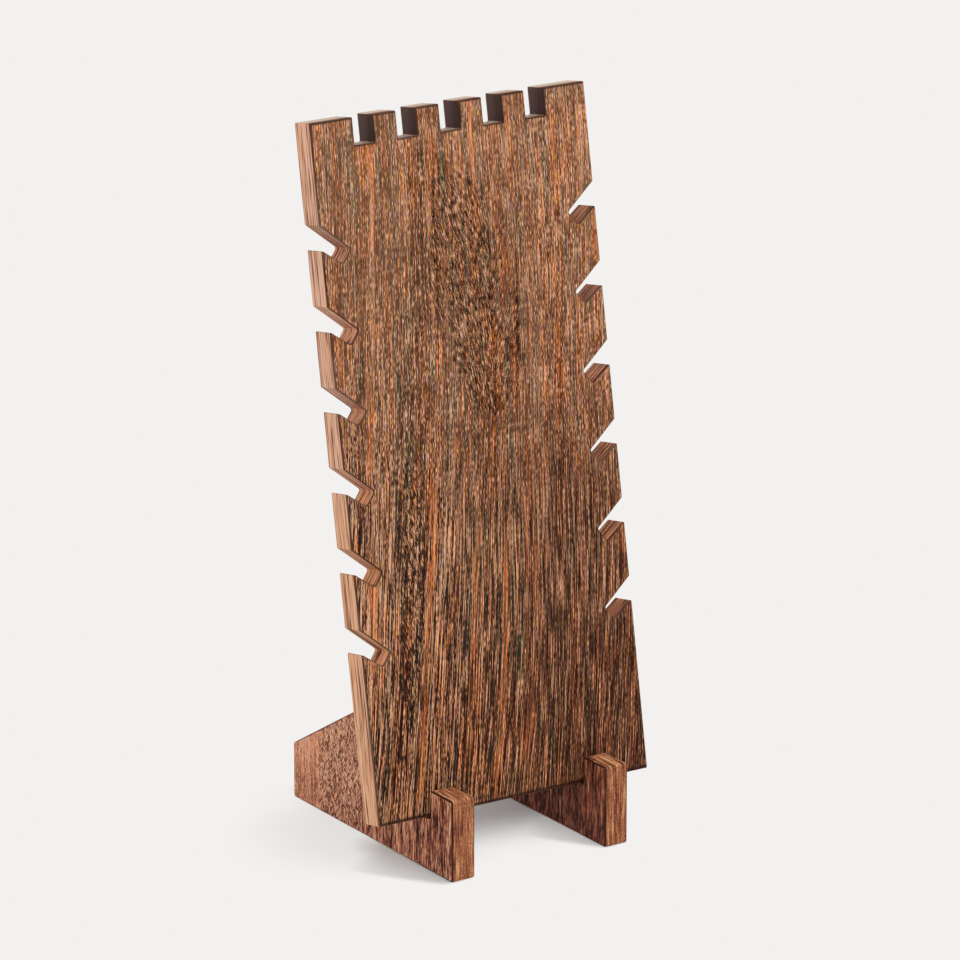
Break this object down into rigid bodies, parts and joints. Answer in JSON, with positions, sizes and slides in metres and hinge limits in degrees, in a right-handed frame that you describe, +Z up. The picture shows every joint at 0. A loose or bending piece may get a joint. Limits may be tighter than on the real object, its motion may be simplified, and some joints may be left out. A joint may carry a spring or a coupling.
{
  "type": "jewelry stand",
  "caption": "Free-standing wooden necklace and bracelet stand: a notched display board leans back in two slotted feet.",
  "frame": {"origin": "on the table, midway between the two feet and halfway along them", "axes": "+Z up, the front of the display board faces -Y, +X to the right as seen from the front"},
  "size_m": [0.165, 0.154, 0.383],
  "materials": {
    "panel_wood": "oiled, dark brown",
    "foot_wood": "oiled, reddish brown"
  },
  "bodies": {
    "left_foot": {"left_foot": "foot_wood"},
    "display_panel": {"display_panel": "panel_wood"},
    "right_foot": {"right_foot": "foot_wood"}
  },
  "joints": [
    {"name": "panel_lift", "type": "slide", "parent": "left_foot", "child": "display_panel", "axis": [0, 0.1736, 0.9848], "range_m": [0, 0.07]},
    {"name": "right_foot_stay", "type": "slide", "parent": "display_panel", "child": "right_foot", "axis": [0, -0.1736, -0.9848], "range_m": [0, 0.07]}
  ],
  "couplings": [
    {"joint": "right_foot_stay", "follows": "panel_lift", "ratio": 1}
  ]
}
